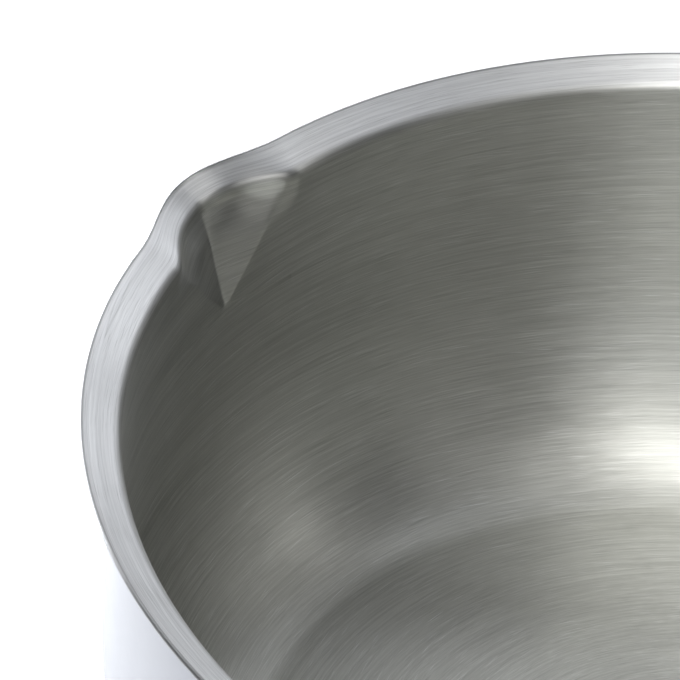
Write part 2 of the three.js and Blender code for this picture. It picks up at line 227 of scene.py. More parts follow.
# Camera, placed round the middle of the rim and fitted to the photograph, with angles in radians
CAMERA_DISTANCE = 570 * MM
CAMERA_AZIMUTH = math.radians(110.2)  # from the beak's side, towards the right handle
CAMERA_ELEVATION = 0.634907
CAMERA_YAW = -0.111015
CAMERA_PITCH = 0.003873
CAMERA_ROLL = -0.187074
CAMERA_LENS = 229.39
CAMERA_NEAR = 0.01
SENSOR_WIDTH = 36

# Stage and light
STAGE_RADIUS = 6
STAGE_SIDES = 64
LIGHT_DISTANCE = 1.6
WARM_WHITE = (1.0, 0.995, 0.97)
COOL_WHITE = (0.94, 0.96, 1.0)
ROOM_WHITE = (0.97, 0.98, 1.0, 1)
ROOM_STRENGTH = 0.02

# A row of the sheet: a point of its inner face, the way through the sheet as a step out and a step up,
# the share of the flare, and the turn over which a facet's columns are spread
Row = namedtuple("Row", "radius height through flare fan")


# Pressed sheet

def beak_share(height):
    """Share of the beak's height: 0 at its foot, 1 where the flare begins."""
    return min(1, max(0, (height - BEAK_FOOT) / BEAK_LENGTH))


def crease_away(share):
    """Distance round the wall from the fold to the crease where a facet leaves the round wall."""
    return BEAK_HALF_WIDTH * max(share, LEAST_SHARE) ** CREASE_BULGE


def facet_stand(turn, share):
    """How far a flat facet stands outside the round wall. It is below 0 past the crease."""
    away = np.hypot(turn * INNER_RADIUS, VALLEY_ROUND) - VALLEY_ROUND
    width = crease_away(share)
    stand = BEAK_REACH * share * (1 - away / width) - away * (width - away) / (2 * INNER_RADIUS)
    return np.where(away < FACET_END * width, stand, -INNER_RADIUS)


def fold_push(turn, share):
    """Outward push of the two facets, with their creases rounded off."""
    stand = facet_stand(turn, share)
    rounding = CREASE_ROUND * min(1, CREASE_GROWTH * share)
    return (stand + np.sqrt(stand ** 2 + 4 * rounding ** 2)) / 2


def bow(turn, half_turn):
    """A bow with its top at the fold, which dies away smoothly on both sides."""
    return (1 + np.cos(np.pi * np.clip(np.abs(turn) / half_turn, 0, 1))) / 2


def broad_bow(turn, half_turn):
    """A bow with a broader top."""
    return 1 - (1 - bow(turn, half_turn)) ** 2


def ease(value):
    """Smooth step from 0 to 1."""
    value = min(1, max(0, value))
    return value * value * (3 - 2 * value)


def mouth_share(share):
    """Share of the mouth's rise: 0 where the facets begin to open, 1 where the flare begins."""
    return ease((share - MOUTH_START) / (1 - MOUTH_START))


def wall_push(turn, height):
    """Outward push of the wall: two facets that open part of the way into the mouth."""
    share = beak_share(height)
    mouth = MOUTH_OPENING * mouth_share(share)
    open_push = mouth * MOUTH_REACH * share * broad_bow(turn, MOUTH_TURN)
    return (1 - mouth) * fold_push(turn, share) + open_push


def lip_push(turn):
    """Outward push of the rim's edge."""
    return LIP_REACH * bow(turn, LIP_TURN)


def flare_row(radius, height, through):
    flare = (radius - INNER_RADIUS) / RIM_REACH
    return Row(radius, height, through, flare, MOUTH_TURN + (LIP_TURN - MOUTH_TURN) * flare)


def straight_flare_row(margin):
    """Row on the straight part of the flare, a margin inside the rim's edge."""
    height = RIM_HEIGHT - margin * math.tan(FLARE_ANGLE)
    through = (math.sin(FLARE_ANGLE), -math.cos(FLARE_ANGLE))
    return flare_row(RIM_RADIUS - margin, height, through)


def sheet_rows(start_radius, end_margin, fineness):
    """Rows of the sheet's inner face, from the bottom out to a margin inside the rim's edge."""
    def steps(count):
        return max(FEWEST_ROWS, round(count * fineness))

    rows = []
    for radius in np.linspace(start_radius, FLAT_RADIUS - CORNER_LINE, steps(BOTTOM_ROWS)):
        rows.append(Row(radius, FLOOR_HEIGHT, (0, -1), 0, MOUTH_TURN))
    reach = CORNER_REACH / (1 - math.sin(CORNER_LEAN))
    rise = CORNER_RISE / math.cos(CORNER_LEAN)
    for angle in np.linspace(CORNER_LEAN, math.pi / 2, steps(CORNER_ROWS)):
        radius = INNER_RADIUS - reach * (1 - math.sin(angle))
        height = CORNER_TOP - rise * math.cos(angle)
        across = rise * math.sin(angle)
        down = -reach * math.cos(angle)
        size = math.hypot(across, down)
        rows.append(Row(radius, height, (across / size, down / size), 0, MOUTH_TURN))
    for height in np.linspace(CORNER_TOP, BEAK_FOOT, steps(WALL_ROWS))[1:-1]:
        rows.append(Row(INNER_RADIUS, height, (1, 0), 0, MOUTH_TURN))
    for share in np.linspace(0, 1, steps(BEAK_ROWS)):
        crease = crease_away(share) / INNER_RADIUS
        fan = max(FOOT_TURN, crease + (MOUTH_TURN - crease) * mouth_share(share))
        rows.append(Row(INNER_RADIUS, BEAK_FOOT + BEAK_LENGTH * share, (1, 0), 0, fan))
    for angle in np.linspace(math.pi, math.pi / 2 + FLARE_ANGLE, steps(BEND_ROWS))[1:]:
        radius = INNER_RADIUS + BEND_RADIUS * (1 + math.cos(angle))
        height = BEND_START + BEND_RADIUS * math.sin(angle)
        rows.append(flare_row(radius, height, (-math.cos(angle), -math.sin(angle))))
    for margin in np.linspace(RIM_RADIUS - BEND_END, end_margin, steps(FLARE_ROWS))[1:]:
        rows.append(straight_flare_row(margin))
    return rows


def sheet_columns():
    """Columns round the pot: 0 to 1 over a facet, 1 to 2 over the shoulder, 2 to 3 to the back."""
    facet = (1 - np.cos(np.linspace(0, np.pi, FACET_COLUMNS))) / 2
    shoulder = 1 + np.linspace(0, 1, SHOULDER_COLUMNS)[1:] ** 2
    back = np.linspace(2, 3, BACK_COLUMNS)[1:]
    one_side = np.concatenate([facet, shoulder, back])
    return np.concatenate([-one_side[-2:0:-1], one_side])


def column_turns(columns, fan):
    turn = np.interp(np.abs(columns), [0, 1, 2, 3], [0, fan, SHOULDER_TURN, math.pi])
    return np.sign(columns) * turn


def ring_points(x, y, z):
    """Points of a ring. A coordinate may be one number for the whole ring."""
    return np.stack(np.broadcast_arrays(x, y, z), axis=1)


def sheet_ring(row, depth, columns, drawn_back=0.0):
    """Points of a row at a depth through the sheet, drawn back along the row's own face."""
    turn = column_turns(columns, row.fan)
    push = (1 - row.flare) * wall_push(turn, row.height) + row.flare * lip_push(turn)
    if row.height < BEAK_FOOT:
        push = 0 * turn
    radius = row.radius + depth * row.through[0] + drawn_back * row.through[1] + push
    height = row.height + depth * row.through[1] - drawn_back * row.through[0]
    return ring_points(radius * np.sin(turn), -radius * np.cos(turn), height)


def rounded_edge(row, near, far, columns, steps):
    """Half-round edge of the sheet, from its near face to its far face."""
    half = (far - near) / 2
    rings = []
    for angle in np.linspace(0, math.pi, steps):
        drawn_back = half * (1 - math.sin(angle))
        rings.append(sheet_ring(row, near + half * (1 - math.cos(angle)), columns, drawn_back))
    return rings


# Meshes

def new_piece(name, vertices, faces, material, slot):
    """A smooth-shaded mesh object that rides on the pot."""
    mesh = bpy.data.meshes.new(name)
    mesh.from_pydata([tuple(vertex) for vertex in vertices], [], faces)
    mesh.polygons.foreach_set("use_smooth", [True] * len(mesh.polygons))
    mesh.materials.append(material)
    piece = bpy.data.objects.new(name, mesh)
    bpy.context.scene.collection.objects.link(piece)
    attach(piece, "root")
    return piece


def loft(rings, joined):
    """Points and quads between rings of points.

    The last ring is joined to the first, or both ends get a pole.
    """
    around = len(rings[0])
    points = np.concatenate(rings)
    faces = []
    for band in range(len(rings) if joined else len(rings) - 1):
        low = band * around
        high = (band + 1) % len(rings) * around
        for column in range(around):
            beside = (column + 1) % around
            faces.append((low + column, low + beside, high + beside, high + column))
    if not joined:
        first_pole = len(points)
        last = (len(rings) - 1) * around
        points = np.concatenate([points, [rings[0].mean(axis=0), rings[-1].mean(axis=0)]])
        for column in range(around):
            beside = (column + 1) % around
            faces.append((first_pole, beside, column))
            faces.append((first_pole + 1, last + column, last + beside))
    return points, faces


def store_brush_lines(piece, rings):
    """Keeps, for each point, its direction round the axis and its way along the profile."""
    profile = [ring[len(ring) // 4] for ring in rings]
    steps = np.linalg.norm(np.diff(profile, axis=0), axis=1)
    way = np.repeat(np.concatenate([[0], np.cumsum(steps)]), len(rings[0]))
    count = len(piece.data.vertices)
    places = np.empty(count * 3)
    piece.data.vertices.foreach_get("co", places)
    places = places.reshape(count, 3)
    radius = np.maximum(np.hypot(places[:, 0], places[:, 1]), 1e-9)
    poles = [0, way[-1]]
    way = np.concatenate([way, poles[:count - len(way)]])
    values = np.stack([places[:, 0] / radius, places[:, 1] / radius, way], axis=1)
    attribute = piece.data.attributes.new("brush", "FLOAT_VECTOR", "POINT")
    attribute.data.foreach_set("vector", values.astype(np.float32).ravel())


def store_cut_edge(piece, rings, cut_rings):
    """Keeps a 1 for each point on the sheet's cut edge."""
    on_edge = np.zeros(len(piece.data.vertices), np.float32)
    around = len(rings[0])
    on_edge[cut_rings.start * around:cut_rings.stop * around] = 1
    attribute = piece.data.attributes.new("cut_edge", "FLOAT", "POINT")
    attribute.data.foreach_set("value", on_edge)


def pressed_piece(name, rings, joined, material, slot):
    piece = new_piece(name, *loft(rings, joined), material, slot)
    store_brush_lines(piece, rings)
    return piece


def pot_body(material):
    columns = sheet_columns()
    near = sheet_rows(POLE_RADIUS, 0, 1)
    far = sheet_rows(POLE_RADIUS, 0, OUTSIDE_FINENESS)
    rings = [sheet_ring(row, 0, columns) for row in near[:-1]]
    edge_rings = rounded_edge(near[-1], 0, SHEET, columns, EDGE_STEPS)
    cut_rings = range(len(rings), len(rings) + len(edge_rings))
    rings += edge_rings
    rings += [sheet_ring(row, SHEET, columns) for row in reversed(far[:-1])]
    piece = pressed_piece("pot_body", rings, False, material, "brushed_steel")
    store_cut_edge(piece, rings, cut_rings)
    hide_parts("pot_shell")


def white_coat(material):
    columns = sheet_columns()
    rows = sheet_rows(COAT_START, COAT_MARGIN, COAT_FINENESS)
    rings = [sheet_ring(row, COAT_FAR, columns) for row in rows[1:-1]]
    rings += rounded_edge(rows[-1], COAT_NEAR, COAT_FAR, columns, COAT_EDGE_STEPS)[::-1]
    rings += [sheet_ring(row, COAT_NEAR, columns) for row in rows[-2::-1]]
    piece = pressed_piece("white_coat", rings, True, material, "white_enamel")
    piece.data.flip_normals()
    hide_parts("enamel_coat")


def arc(middle, radius, start, end, steps):
    """Points on an arc in a profile, from one angle to another, in degrees."""
    angles = np.radians(np.linspace(start, end, steps))
    return [(middle[0] + radius * math.cos(a), middle[1] + radius * math.sin(a)) for a in angles]


def curve(start, control, end, steps):
    """Points on a curve that leaves start towards control and comes in to end from it."""
    points = []
    for t in np.linspace(0, 1, steps):
        weights = ((1 - t) ** 2, 2 * t * (1 - t), t ** 2)
        points.append(tuple(np.dot(weights, [start, control, end])))
    return points


def full_turn(sides):
    """Angles of points spread evenly round a circle."""
    return np.linspace(0, 2 * math.pi, sides, endpoint=False)


def turned_upright(profile, sides):
    """Rings of a profile of radius and height, turned round the pot's axis."""
    angles = full_turn(sides)
    return [ring_points(r * np.sin(angles), -r * np.cos(angles), z) for r, z in profile]


def turned_along_rod(profile, sides):
    """Rings of a profile of radius and way along the rod, turned round the rod."""
    angles = full_turn(sides)
    return [ring_points(r * np.sin(angles), y, r * np.cos(angles)) for r, y in profile]


def even_shading(piece):
    """Lets large faces set the shading at rounded edges."""
    modifier = piece.modifiers.new("even_shading", "WEIGHTED_NORMAL")
    modifier.weight = SHADING_WEIGHT


def base_plate(material):
    centre = CAP_RADIUS - CAP_EDGE
    profile = [(r, CAP_SHEET) for r in np.linspace(POLE_RADIUS, centre, 8)[:-1]]
    profile += arc((centre, CAP_EDGE), CAP_EDGE - CAP_SHEET, -90, 0, 7)
    profile += arc((CAP_RADIUS - CAP_SHEET / 2, CAP_TOP - CAP_SHEET / 2), CAP_SHEET / 2, 180, 0, 9)
    profile += arc((centre, CAP_EDGE), CAP_EDGE, 0, -90, 12)
    profile += [(r, 0) for r in np.linspace(centre, POLE_RADIUS, 12)[1:]]
    rings = turned_upright(profile, CAP_SIDES)
    piece = pressed_piece("base_plate", rings, False, material, "brushed_steel")
    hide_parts("base_cap")
    even_shading(piece)


def handle_place(facing, end):
    """Turns a piece from the rear end of the right handle to the end and side that it belongs to."""
    to_side = Matrix.Rotation(0 if facing > 0 else math.pi, 4, "Z")
    to_rod = Matrix.Translation((ROD_REACH, 0, ROD_HEIGHT))
    to_end = Matrix.Rotation(0 if end > 0 else math.pi, 4, "X")
    return to_side @ to_rod @ to_end


def grip(name, facing, material):
    shoulder = GRIP_HALF - GRIP_EDGE
    end_corner = (GRIP_END_RADIUS, GRIP_HALF)
    end_side = (GRIP_END_RADIUS, shoulder)
    half = [(BORE_RADIUS, 0), (BORE_RADIUS, GRIP_HALF - GRIP_BORE_EDGE)]
    half += [(BORE_RADIUS + GRIP_BORE_EDGE, GRIP_HALF)]
    half += curve((GRIP_END_RADIUS - GRIP_EDGE, GRIP_HALF), end_corner, end_side, 7)
    half += curve(end_side, (GRIP_MID_RADIUS, shoulder / 2), (GRIP_MID_RADIUS, 0), 24)[1:]
    mirrored = [(r, -y) for r, y in reversed(half[1:-1])]
    rings = turned_along_rod(half + mirrored, GRIP_SIDES)
    piece = new_piece(name + "_wood", *loft(rings, True), material, "wood")
    piece.data.flip_normals()
    piece.data.transform(handle_place(facing, 1))
    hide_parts(name)


def washer(name, facing, end, material):
    edge = WASHER_EDGE
    inner = BORE_RADIUS + edge
    outer = WASHER_RADIUS - edge
    low = WASHER_INSIDE + edge
    high = WASHER_INSIDE + WASHER_THICKNESS - edge
    profile = arc((inner, low), edge, 180, 270, 4) + arc((outer, low), edge, -90, 0, 4)
    profile += arc((outer, high), edge, 0, 90, 4) + arc((inner, high), edge, 90, 180, 4)
    rings = turned_along_rod(profile, WASHER_SIDES)
    piece = new_piece(name + "_ring", *loft(rings, True), material, "fastener_steel")
    piece.data.transform(handle_place(facing, end))
    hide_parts(name)
    even_shading(piece)


def nut_ring(reach, along):
    """Ring of the hexagon, cut back to a reach by the cone that chamfers it."""
    angles = full_turn(NUT_SIDES)
    hexagon = NUT_HALF_FLATS / np.cos(angles % (math.pi / 3) - math.pi / 6)
    radius = np.minimum(hexagon, reach)
    return ring_points(radius * np.sin(angles), along, radius * np.cos(angles))


def cap_nut(name, facing, end, material):
    corner = NUT_HALF_FLATS / math.cos(math.pi / 6)
    bore_end = NUT_HEX + NUT_NECK
    bore = [(NUT_BORE_POLE, bore_end), (BORE_RADIUS, bore_end)]
    bore += [(BORE_RADIUS, NUT_BORE_EDGE), (BORE_RADIUS + NUT_BORE_EDGE, 0)]
    rings = turned_along_rod(bore, NUT_SIDES)
    chamfer = corner - NUT_HALF_FLATS + NUT_CHAMFER_CUT
    for step in np.linspace(0, 1, NUT_CHAMFER_STEPS):
        rings.append(nut_ring(corner - chamfer * (1 - step), NUT_CHAMFER_SLOPE * chamfer * step))
    for step in np.linspace(1, 0, NUT_CHAMFER_STEPS):
        along = NUT_HEX - NUT_CHAMFER_SLOPE * chamfer * step
        rings.append(nut_ring(corner - chamfer * (1 - step), along))
    neck = [(DOME_RADIUS + NUT_NECK_EDGE, NUT_HEX), (DOME_RADIUS, NUT_HEX + NUT_NECK_EDGE)]
    rings += turned_along_rod(neck + arc((0, bore_end), DOME_RADIUS, 0, 87, 16), NUT_SIDES)
    piece = new_piece(name + "_dome", *loft(rings, False), material, "fastener_steel")
    piece.data.transform(handle_place(facing, end) @ Matrix.Translation((0, NUT_INSIDE, 0)))
    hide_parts(name)
    even_shading(piece)


def ear_outline():
    """Waisted outline of a lug's ear, as reach from the rod and height, from foot to eye and back."""
    root = EAR_START - ROD_REACH
    waist = root * (1 - LUG_WAIST)
    turn = math.degrees(math.acos(-EYE_RADIUS / waist))
    eye = arc((0, 0), EYE_RADIUS, turn - 180, 180 - turn, 40)
    lower = curve((root, -LUG_ROOT / 2), (waist, -EYE_RADIUS), eye[0], 16)
    upper = curve(eye[-1], (waist, EYE_RADIUS), (root, LUG_ROOT / 2), 16)
    return lower[:-1] + eye + upper[1:]


def ear_mesh():
    """Ear of a lug with rounded edges and a hole for the rod, as points and faces."""
    data = bpy.data.curves.new("ear", "CURVE")
    data.dimensions = "2D"
    data.fill_mode = "BOTH"
    data.extrude = LUG_SHEET / 2 - LUG_EDGE
    data.bevel_depth = LUG_EDGE
    data.bevel_resolution = 3
    data.offset = -LUG_EDGE
    hole = arc((0, 0), BORE_RADIUS, 360, 360 / HOLE_SIDES, HOLE_SIDES)
    for outline in (ear_outline(), hole):
        spline = data.splines.new("POLY")
        spline.points.add(len(outline) - 1)
        spline.use_cyclic_u = True
        for point, (reach, height) in zip(spline.points, outline):
            point.co = (reach, height, 0, 1)
    shape = bpy.data.objects.new("ear", data)
    bpy.context.scene.collection.objects.link(shape)
    finished = shape.evaluated_get(bpy.context.evaluated_depsgraph_get())
    mesh = bpy.data.meshes.new_from_object(finished)
    bpy.data.objects.remove(shape)
    middle = LUG_INSIDE + LUG_SHEET / 2
    points = np.array([(v.co.x, middle - v.co.z, v.co.y) for v in mesh.vertices])
    faces = [tuple(polygon.vertices) for polygon in mesh.polygons]
    bpy.data.meshes.remove(mesh)
    return points, faces


def foot_mesh():
    """Foot of a lug: a pad with rounded corners and edges that follows the wall, as points and faces."""
    middle = LUG_INSIDE + FOOT_WIDTH / 2
    half_width = FOOT_WIDTH / 2
    half_height = FOOT_HEIGHT / 2
    outline = []
    for across, up, start in ((1, -1, -90), (1, 1, 0), (-1, 1, 90), (-1, -1, 180)):
        corner = (across * (half_width - FOOT_CORNER), up * (half_height - FOOT_CORNER))
        outline += arc(corner, FOOT_CORNER, start, start + 90, 9)
    outline = np.array(outline)
    layers = [(share, FOOT_SHEET) for share in FOOT_FACE_SHARES]
    for angle in np.linspace(0, math.pi / 2, 6):
        drawn_back = FOOT_EDGE * (1 - math.sin(angle)) / half_width
        layers.append((1 - drawn_back, FOOT_SHEET - FOOT_EDGE * (1 - math.cos(angle))))
    layers += [(share, 0) for share in FOOT_BACK_SHARES]
    rings = []
    for share, depth in layers:
        y = middle + outline[:, 0] * share
        x = np.sqrt((SEAT_RADIUS + depth) ** 2 - y ** 2) - ROD_REACH
        rings.append(ring_points(x, y, outline[:, 1] * share))
    return loft(rings, False)


def weld_mesh():
    """Weld bead in the corner between ear and foot, uneven along its length, as points and faces."""
    rings = []
    angles = full_turn(WELD_SIDES)
    y = LUG_OUTSIDE
    x = math.sqrt((SEAT_RADIUS + FOOT_SHEET) ** 2 - y ** 2) - ROD_REACH
    for step in np.linspace(-1, 1, WELD_STEPS):
        height = step * (LUG_ROOT / 2 - WELD_RADIUS)
        taper = math.sqrt(max(WELD_END_LEAST, 1 - step ** WELD_END_POWER))
        radius = WELD_RADIUS * taper * (1 + WELD_UNEVENNESS * math.cos(WELD_RIPPLES * step))
        rings.append(ring_points(x + radius * np.cos(angles), y + radius * np.sin(angles), height))
    return loft(rings, False)


def lug(name, facing, end, material):
    points = []
    faces = []
    for some_points, some_faces in (ear_mesh(), foot_mesh(), weld_mesh()):
        first = sum(len(part) for part in points)
        points.append(some_points)
        faces += [tuple(first + corner for corner in face) for face in some_faces]
    piece = new_piece(name + "_bracket", np.concatenate(points), faces, material, "white_enamel")
    piece.data.transform(handle_place(facing, end))
    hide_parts(name)
    even_shading(piece)


def handle(side, facing, wood, enamel, polished):
    grip(side + "_grip", facing, wood)
    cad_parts[side + "_tie_rod"].data.materials[0] = polished
    for end in (1, -1):
        place = "rear" if end * facing > 0 else "front"
        lug(f"{side}_{place}_lug", facing, end, enamel)
        washer(f"{side}_{place}_washer", facing, end, polished)
        cap_nut(f"{side}_{place}_cap_nut", facing, end, polished)


# Nodes

def new_material(name):
    material = bpy.data.materials.new(name)
    material.use_nodes = True
    return material, material.node_tree, material.node_tree.nodes["Principled BSDF"]


def feed(tree, socket, value):
    """Links a socket to a socket, or sets it to a plain value."""
    if isinstance(value, bpy.types.NodeSocket):
        tree.links.new(value, socket)
    else:
        socket.default_value = value


def calculate(tree, operation, first, second=0.0):
    node = tree.nodes.new("ShaderNodeMath")
    node.operation = operation
    feed(tree, node.inputs[0], first)
    feed(tree, node.inputs[1], second)
    return node.outputs[0]


def stretched(tree, vector, scale):
    node = tree.nodes.new("ShaderNodeVectorMath")
    node.operation = "MULTIPLY"
    feed(tree, node.inputs[0], vector)
    node.inputs[1].default_value = scale
    return node.outputs[0]


def noise(tree, vector, scale, detail, roughness=0.5):
    node = tree.nodes.new("ShaderNodeTexNoise")
    feed(tree, node.inputs["Vector"], vector)
    node.inputs["Scale"].default_value = scale
    node.inputs["Detail"].default_value = detail
    node.inputs["Roughness"].default_value = roughness
    return node.outputs[0]


def spread(tree, value, low, high, to_low, to_high):
    """Maps low..high to to_low..to_high, and stops there."""
    node = tree.nodes.new("ShaderNodeMapRange")
    feed(tree, node.inputs["Value"], value)
    node.inputs["From Min"].default_value = low
    node.inputs["From Max"].default_value = high
    node.inputs["To Min"].default_value = to_low
    node.inputs["To Max"].default_value = to_high
    return node.outputs[0]


def spread_noise(tree, value, to_low, to_high):
    """Maps the range that most of a noise lies in."""
    return spread(tree, value, NOISE_LOW, NOISE_HIGH, to_low, to_high)


def blend_colours(tree, factor, first, second):
    node = tree.nodes.new("ShaderNodeMix")
    node.data_type = "RGBA"
    node.blend_type = "MIX"
    feed(tree, node.inputs["Factor"], factor)
    feed(tree, node.inputs["A"], first)
    feed(tree, node.inputs["B"], second)
    return node.outputs["Result"]


def bump(tree, height, distance):
    node = tree.nodes.new("ShaderNodeBump")
    node.inputs["Strength"].default_value = 1
    node.inputs["Distance"].default_value = distance
    feed(tree, node.inputs["Height"], height)
    return node.outputs["Normal"]


def object_place(tree):
    return tree.nodes.new("ShaderNodeTexCoord").outputs["Object"]


def height_of(tree, place):
    node = tree.nodes.new("ShaderNodeSeparateXYZ")
    feed(tree, node.inputs[0], place)
    return node.outputs["Z"]


def brush_place(tree):
    """Direction round the axis and way along the profile, as kept by store_brush_lines."""
    node = tree.nodes.new("ShaderNodeAttribute")
    node.attribute_name = "brush"
    return node.outputs["Vector"]


def cut_edge(tree):
    """1 on the sheet's cut edge, as kept by store_cut_edge, and 0 elsewhere."""
    node = tree.nodes.new("ShaderNodeAttribute")
    node.attribute_name = "cut_edge"
    return node.outputs["Fac"]


def swaying(tree, place, waves, slope):
    """Brush place whose lines rise and fall that many times round the pot, no steeper than a slope."""
    split = tree.nodes.new("ShaderNodeSeparateXYZ")
    feed(tree, split.inputs[0], place)
    turn = calculate(tree, "ARCTAN2", split.outputs["X"], split.outputs["Y"])
    rise = calculate(tree, "SINE", calculate(tree, "MULTIPLY", turn, waves))
    rise = calculate(tree, "MULTIPLY", rise, INNER_RADIUS * slope / waves)
    joined = tree.nodes.new("ShaderNodeCombineXYZ")
    feed(tree, joined.inputs["X"], split.outputs["X"])
    feed(tree, joined.inputs["Y"], split.outputs["Y"])
    feed(tree, joined.inputs["Z"], calculate(tree, "ADD", split.outputs["Z"], rise))
    return joined.outputs[0]


def brush_lines(tree, place, length, width):
    """Streaks of a length round the pot and a width across the brushing."""
    turns = INNER_RADIUS / length
    stretched_place = stretched(tree, place, (turns, turns, 1 / width))
    return noise(tree, stretched_place, 1, BRUSH_DETAIL, BRUSH_ROUGHNESS)


def brushed_steel():
    material, tree, shader = new_material("round_brushed_steel")
    place = brush_place(tree)
    rising_hair = brush_lines(tree, swaying(tree, place, 7, HAIR_SLOPE), HAIR_LENGTH, HAIR_WIDTH)
    falling_hair = brush_lines(tree, swaying(tree, place, 9, -HAIR_SLOPE), HAIR_LENGTH, HAIR_WIDTH)
    scratch = brush_lines(tree, swaying(tree, place, 5, SCRATCH_SLOPE), SCRATCH_LENGTH, SCRATCH_WIDTH)
    streak = brush_lines(tree, place, STREAK_LENGTH, STREAK_WIDTH)
    broad = brush_lines(tree, place, BROAD_LENGTH, BROAD_WIDTH)
    lines = spread_noise(tree, streak, 0, 1)
    # Painted shade on the wall and painted highlight on the rim, each over the brush streaks
    shaded_wall_tint = blend_colours(tree, lines, WALL_SHADE_DARK, WALL_SHADE_LIGHT)
    rim_sheen_tint = blend_colours(tree, lines, RIM_SHEEN_DARK, RIM_SHEEN_LIGHT)
    height = height_of(tree, object_place(tree))
    rim_sheen_share = spread(tree, height, RIM_SHEEN_START, RIM_SHEEN_FULL, 0, 1)
    tint = blend_colours(tree, rim_sheen_share, shaded_wall_tint, rim_sheen_tint)
    for hair in (rising_hair, falling_hair):
        tint = blend_colours(tree, spread(tree, hair, 0.58, 0.7, 0, 0.3), tint, HAIR_LIGHT)
        tint = blend_colours(tree, spread(tree, hair, 0.42, 0.3, 0, 0.28), tint, HAIR_DARK)
    tint = blend_colours(tree, spread(tree, scratch, 0.66, 0.74, 0, 0.6), tint, SCRATCH_LIGHT)
    # The cut edge is darkened with painted shade
    edge_shade = calculate(tree, "MULTIPLY", cut_edge(tree), EDGE_SHADE_SHARE)
    tint = blend_colours(tree, edge_shade, tint, EDGE_SHADE_TINT)
    feed(tree, shader.inputs["Base Color"], tint)
    feed(tree, shader.inputs["Roughness"], spread_noise(tree, broad, 0.35, 0.41))
    grooves = calculate(tree, "ADD", streak, calculate(tree, "MULTIPLY", rising_hair, GROOVE_HAIR))
    feed(tree, shader.inputs["Normal"], bump(tree, grooves, GROOVE_DEPTH))
    shader.inputs["Metallic"].default_value = 1
    shader.inputs["Anisotropic"].default_value = 0.88
    shader.inputs["Anisotropic Rotation"].default_value = 0.25
    tangent = tree.nodes.new("ShaderNodeTangent")
    tangent.direction_type = "RADIAL"
    tangent.axis = "Z"
    tree.links.new(tangent.outputs[0], shader.inputs["Tangent"])
    return material


def white_enamel():
    material, tree, shader = new_material("gloss_white_enamel")
    place = object_place(tree)
    cloud = noise(tree, place, 35, 3)
    ripple = noise(tree, place, 400, 2)
    tint = blend_colours(tree, cloud, ENAMEL_DARK, ENAMEL_LIGHT)
    feed(tree, shader.inputs["Base Color"], tint)
    feed(tree, shader.inputs["Roughness"], spread_noise(tree, cloud, 0.16, 0.24))
    feed(tree, shader.inputs["Normal"], bump(tree, ripple, 0.02 * MM))
    return material


def turned_wood():
    material, tree, shader = new_material("turned_wood")
    place = object_place(tree)
    wander = noise(tree, stretched(tree, place, (1, 0.08, 1)), 90, 3)
    rings = noise(tree, stretched(tree, place, (1, 0.02, 0.35)), 420, 2)
    fibre = noise(tree, stretched(tree, place, (1, 0.03, 1)), 2600, 2)
    pores = noise(tree, stretched(tree, place, (1, 0.05, 1)), 1500, 1)
    tint = blend_colours(tree, spread(tree, rings, 0.35, 0.65, 0, 1), WOOD_DARK, WOOD_LIGHT)
    tint = blend_colours(tree, spread_noise(tree, wander, 0, 0.5), tint, WOOD_STAIN)
    tint = blend_colours(tree, spread(tree, pores, 0.62, 0.7, 0, 0.6), tint, WOOD_PORE)
    feed(tree, shader.inputs["Base Color"], tint)
    feed(tree, shader.inputs["Roughness"], spread_noise(tree, fibre, 0.38, 0.52))
    feed(tree, shader.inputs["Normal"], bump(tree, fibre, 0.03 * MM))
    return material


def polished_steel():
    material, tree, shader = new_material("polished_steel")
    place = object_place(tree)
    lathe_marks = noise(tree, stretched(tree, place, (1, 30, 1)), 120, 2)
    tint = blend_colours(tree, lathe_marks, POLISHED_DARK, POLISHED_LIGHT)
    feed(tree, shader.inputs["Base Color"], tint)
    feed(tree, shader.inputs["Roughness"], spread_noise(tree, lathe_marks, 0.12, 0.22))
    feed(tree, shader.inputs["Normal"], bump(tree, lathe_marks, 0.005 * MM))
    shader.inputs["Metallic"].default_value = 1
    return material


def rolled_aluminium():
    material, tree, shader = new_material("rolled_aluminium")
    place = object_place(tree)
    rolling = noise(tree, stretched(tree, place, (1, 0.05, 1)), 900, 2)
    tint = blend_colours(tree, rolling, ALUMINIUM_DARK, ALUMINIUM_LIGHT)
    feed(tree, shader.inputs["Base Color"], tint)
    feed(tree, shader.inputs["Roughness"], spread_noise(tree, rolling, 0.4, 0.55))
    shader.inputs["Metallic"].default_value = 1
    return material


# Stage

def pale_floor():
    material, tree, shader = new_material("pale_floor")
    place = object_place(tree)
    grain = noise(tree, place, 60, 3)
    tint = blend_colours(tree, grain, FLOOR_DARK, FLOOR_LIGHT)
    feed(tree, shader.inputs["Base Color"], tint)
    shader.inputs["Roughness"].default_value = 0.9
    shader.inputs["Specular IOR Level"].default_value = 0.1
    angles = full_turn(STAGE_SIDES)
    outline = [(STAGE_RADIUS * math.cos(a), STAGE_RADIUS * math.sin(a), 0) for a in angles]
    mesh = bpy.data.meshes.new("floor")
    mesh.from_pydata(outline, [], [tuple(range(len(outline)))])
    mesh.materials.append(material)
    floor = bpy.data.objects.new("floor", mesh)
    bpy.context.scene.collection.objects.link(floor)


